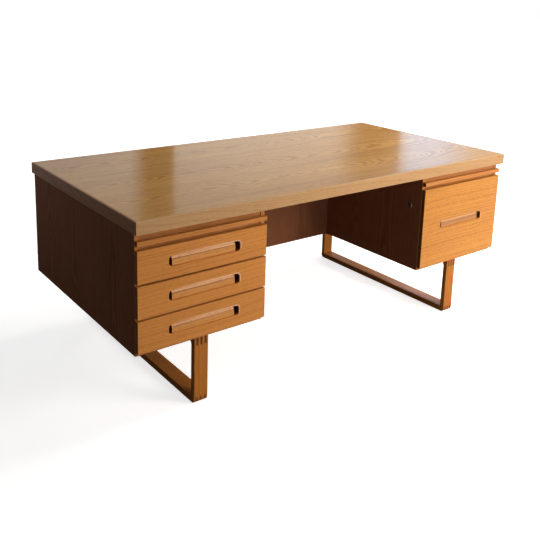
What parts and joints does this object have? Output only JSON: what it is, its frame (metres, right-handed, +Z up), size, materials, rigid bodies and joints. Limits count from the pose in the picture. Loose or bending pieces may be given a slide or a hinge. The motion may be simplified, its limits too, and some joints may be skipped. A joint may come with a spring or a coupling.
{
  "type": "pedestal desk",
  "caption": "Wide wooden writing desk on two pedestals with slotted drawer pulls, pull-out writing slides, a kneehole, open rear bays and sled leg frames.",
  "frame": {"origin": "on the floor, under the middle of the desk top", "axes": "+X to the right of a person who faces the drawers, drawers face -Y, +Z up"},
  "size_m": [1.878, 0.916, 0.72],
  "materials": {
    "top_veneer": "satin lacquer",
    "solid_lipping": "satin lacquer",
    "front_oak": "satin lacquer",
    "carcase_veneer": "satin lacquer",
    "frame_oak": "satin lacquer",
    "drawer_lining": "sealed",
    "runner_beech": "waxed",
    "lock_nickel": "worn nickel plate",
    "screw_steel": "zinc plate"
  },
  "bodies": {
    "carcase": {"top_panel": "top_veneer", "top_long_lippings": "solid_lipping", "top_end_lippings": "solid_lipping", "kneehole_panel": "carcase_veneer", "centre_bottom": "carcase_veneer", "drawer_runners": "runner_beech", "wood_screws": "screw_steel", "lock_case": "lock_nickel", "left_outer_side": "carcase_veneer", "left_inner_side": "carcase_veneer", "left_bottom": "carcase_veneer", "left_divider": "carcase_veneer", "left_top_rail": "carcase_veneer", "left_bay_back": "carcase_veneer", "left_frame_rail": "frame_oak", "left_frame_foot": "frame_oak", "left_frame_front_leg": "frame_oak", "left_frame_back_leg": "frame_oak", "right_outer_side": "carcase_veneer", "right_inner_side": "carcase_veneer", "right_bottom": "carcase_veneer", "right_divider": "carcase_veneer", "right_top_rail": "carcase_veneer", "right_bay_back": "carcase_veneer", "right_frame_rail": "frame_oak", "right_frame_foot": "frame_oak", "right_frame_front_leg": "frame_oak", "right_frame_back_leg": "frame_oak"},
    "left_slide": {"left_slide_panel": "drawer_lining", "left_slide_edge": "front_oak", "left_slide_stops": "runner_beech"},
    "right_slide": {"right_slide_panel": "drawer_lining", "right_slide_edge": "front_oak", "right_slide_stops": "runner_beech"},
    "left_top_drawer": {"left_top_drawer_front": "front_oak", "left_top_drawer_grip": "front_oak", "left_top_drawer_left_side": "drawer_lining", "left_top_drawer_right_side": "drawer_lining", "left_top_drawer_back": "drawer_lining", "left_top_drawer_bottom": "drawer_lining"},
    "left_middle_drawer": {"left_middle_drawer_front": "front_oak", "left_middle_drawer_grip": "front_oak", "left_middle_drawer_left_side": "drawer_lining", "left_middle_drawer_right_side": "drawer_lining", "left_middle_drawer_back": "drawer_lining", "left_middle_drawer_bottom": "drawer_lining"},
    "left_bottom_drawer": {"left_bottom_drawer_front": "front_oak", "left_bottom_drawer_grip": "front_oak", "left_bottom_drawer_left_side": "drawer_lining", "left_bottom_drawer_right_side": "drawer_lining", "left_bottom_drawer_back": "drawer_lining", "left_bottom_drawer_bottom": "drawer_lining"},
    "right_drawer": {"right_drawer_front": "front_oak", "right_drawer_grip": "front_oak", "right_drawer_left_side": "drawer_lining", "right_drawer_right_side": "drawer_lining", "right_drawer_back": "drawer_lining", "right_drawer_bottom": "drawer_lining"},
    "lock": {"lock_plug": "lock_nickel", "lock_cam": "lock_nickel"}
  },
  "joints": [
    {"name": "left_slide_pull", "type": "slide", "parent": "carcase", "child": "left_slide", "axis": [0, -1, 0], "range_m": [0, 0.35]},
    {"name": "right_slide_pull", "type": "slide", "parent": "carcase", "child": "right_slide", "axis": [0, -1, 0], "range_m": [0, 0.35]},
    {"name": "left_top_drawer_pull", "type": "slide", "parent": "carcase", "child": "left_top_drawer", "axis": [0, -1, 0], "range_m": [0, 0.4]},
    {"name": "left_middle_drawer_pull", "type": "slide", "parent": "carcase", "child": "left_middle_drawer", "axis": [0, -1, 0], "range_m": [0, 0.4]},
    {"name": "left_bottom_drawer_pull", "type": "slide", "parent": "carcase", "child": "left_bottom_drawer", "axis": [0, -1, 0], "range_m": [0, 0.4]},
    {"name": "right_drawer_pull", "type": "slide", "parent": "carcase", "child": "right_drawer", "axis": [0, -1, 0], "range_m": [0, 0.4]},
    {"name": "lock_turn", "type": "hinge", "parent": "carcase", "child": "lock", "pos_m": [0.42, -0.368, 0.537], "axis": [1, 0, 0], "range_deg": [0, 90]}
  ]
}
